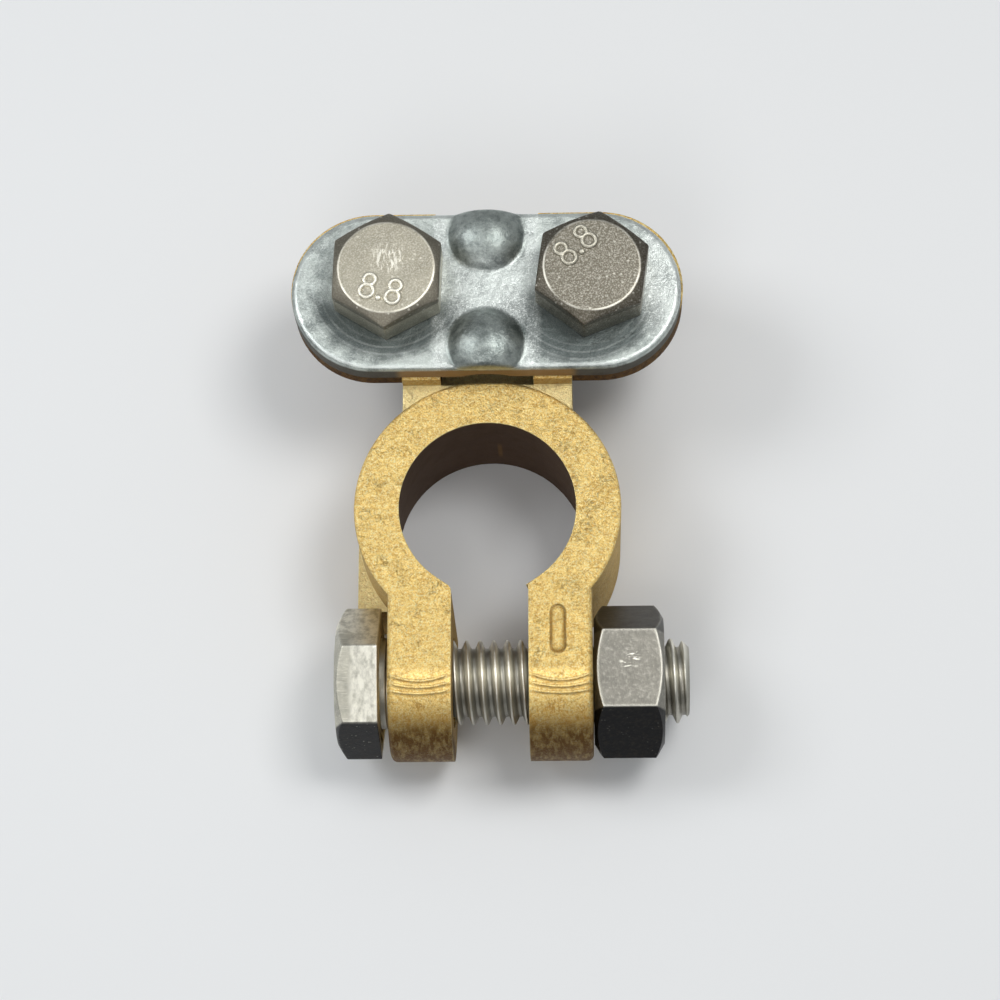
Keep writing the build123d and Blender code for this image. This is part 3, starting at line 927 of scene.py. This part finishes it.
class CLAMP_OT_stage(Operator):
    """Lays the floor, lights the clamp with soft boxes and sets the camera"""

    bl_idname = "clamp.stage"
    bl_label = "Stage"

    def execute(self, context):
        self.floor()
        self.sky(context)
        self.lights(context)
        self.camera(context)
        context.scene.view_settings.view_transform = "Standard"
        return {"FINISHED"}

    def floor(self):
        """A pale square just under the clamp."""
        corners = np.array([(-1, -1), (1, -1), (1, 1), (-1, 1)]) * FLOOR_REACH
        vertices = np.column_stack([corners, np.full(4, -FLOOR_DROP * MM)])
        material = Finish("pale_floor").finish(FLOOR_COLOUR, 0.9, 0.0)
        put_mesh("floor", vertices, [(0, 1, 2, 3)], material, smooth=False)

    def sky(self, context):
        """Plain grey room light that grows paler upwards."""
        world = bpy.data.worlds.new("studio")
        context.scene.world = world
        g = Graph(world)
        height = g.split(g.add("TexCoord", {}, {}, "Generated"))[2]
        background = g.tree.nodes["Background"].inputs
        g.feed(background["Color"], g.add("ValToRGB", {"stops": SKY_STOPS}, {0: height}))
        g.feed(background["Strength"], SKY_STRENGTH)

    def lights(self, context):
        """Square soft boxes aimed at the clamp."""
        for name, (place, power, colour) in SOFT_BOXES.items():
            lamp = bpy.data.lights.new(name, "AREA")
            lamp.shape, lamp.size = "SQUARE", BOX_SIZE
            lamp.energy, lamp.color = power, colour
            box = bpy.data.objects.new(name, lamp)
            context.scene.collection.objects.link(box)
            box.location = place
            box.rotation_mode = "QUATERNION"
            box.rotation_quaternion = (Vector(LIGHT_TARGET) - Vector(place)).to_track_quat("-Z", "Y")

    def camera(self, context):
        """Looks down on the clamp along the turned view's own axis, from VIEW_DISTANCE away."""
        sight = bpy.data.cameras.new("camera")
        camera = bpy.data.objects.new("camera", sight)
        context.scene.collection.objects.link(camera)
        swing, roll = Matrix.Rotation(VIEW_SWING, 4, "Z"), Matrix.Rotation(VIEW_ROLL, 4, "Z")
        turn = swing @ Matrix.Rotation(VIEW_TILT, 4, "X") @ roll
        place = (Vector(VIEW_TARGET) + turn.col[2].xyz * VIEW_DISTANCE) * MM
        camera.matrix_world = Matrix.Translation(place) @ turn
        sight.sensor_width, sight.lens = SENSOR_W, FOCAL_PX / IMAGE_PX * SENSOR_W
        sight.clip_start, sight.clip_end = 0.01, 10.0
        context.scene.camera = camera


STEPS = (CLAMP_OT_body, CLAMP_OT_plate, CLAMP_OT_saddle_screws, CLAMP_OT_pinch_screw, CLAMP_OT_pinch_nut,
         CLAMP_OT_stage)


class CLAMP_PT_panel(Panel):
    """The clamp's pieces and settings in the sidebar"""

    bl_idname = "CLAMP_PT_panel"
    bl_label = "Battery terminal clamp"
    bl_space_type = "VIEW_3D"
    bl_region_type = "UI"
    bl_category = "Clamp"

    def draw(self, context):
        for step in STEPS:
            self.layout.operator(step.bl_idname)
        settings = context.scene.clamp
        for group in (settings, settings.finish, settings.pinch_screw, settings.saddle_screw):
            box = self.layout.box()
            for name in group.__annotations__:
                if not isinstance(getattr(group, name), PropertyGroup):
                    box.prop(group, name)


CLASSES = (ScrewSettings, ClampFinish, ClampSettings, *STEPS, CLAMP_PT_panel)


def register():
    for one in CLASSES:
        bpy.utils.register_class(one)
    bpy.types.Scene.clamp = PointerProperty(type=ClampSettings)


def unregister():
    del bpy.types.Scene.clamp
    for one in reversed(CLASSES):
        bpy.utils.unregister_class(one)


def main():
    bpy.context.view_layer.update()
    register()
    set_saddle_screw(bpy.context.scene.clamp.saddle_screw)
    for step in STEPS:
        area, name = step.bl_idname.split(".")
        getattr(getattr(bpy.ops, area), name)()


if __name__ == "__main__":
    main()
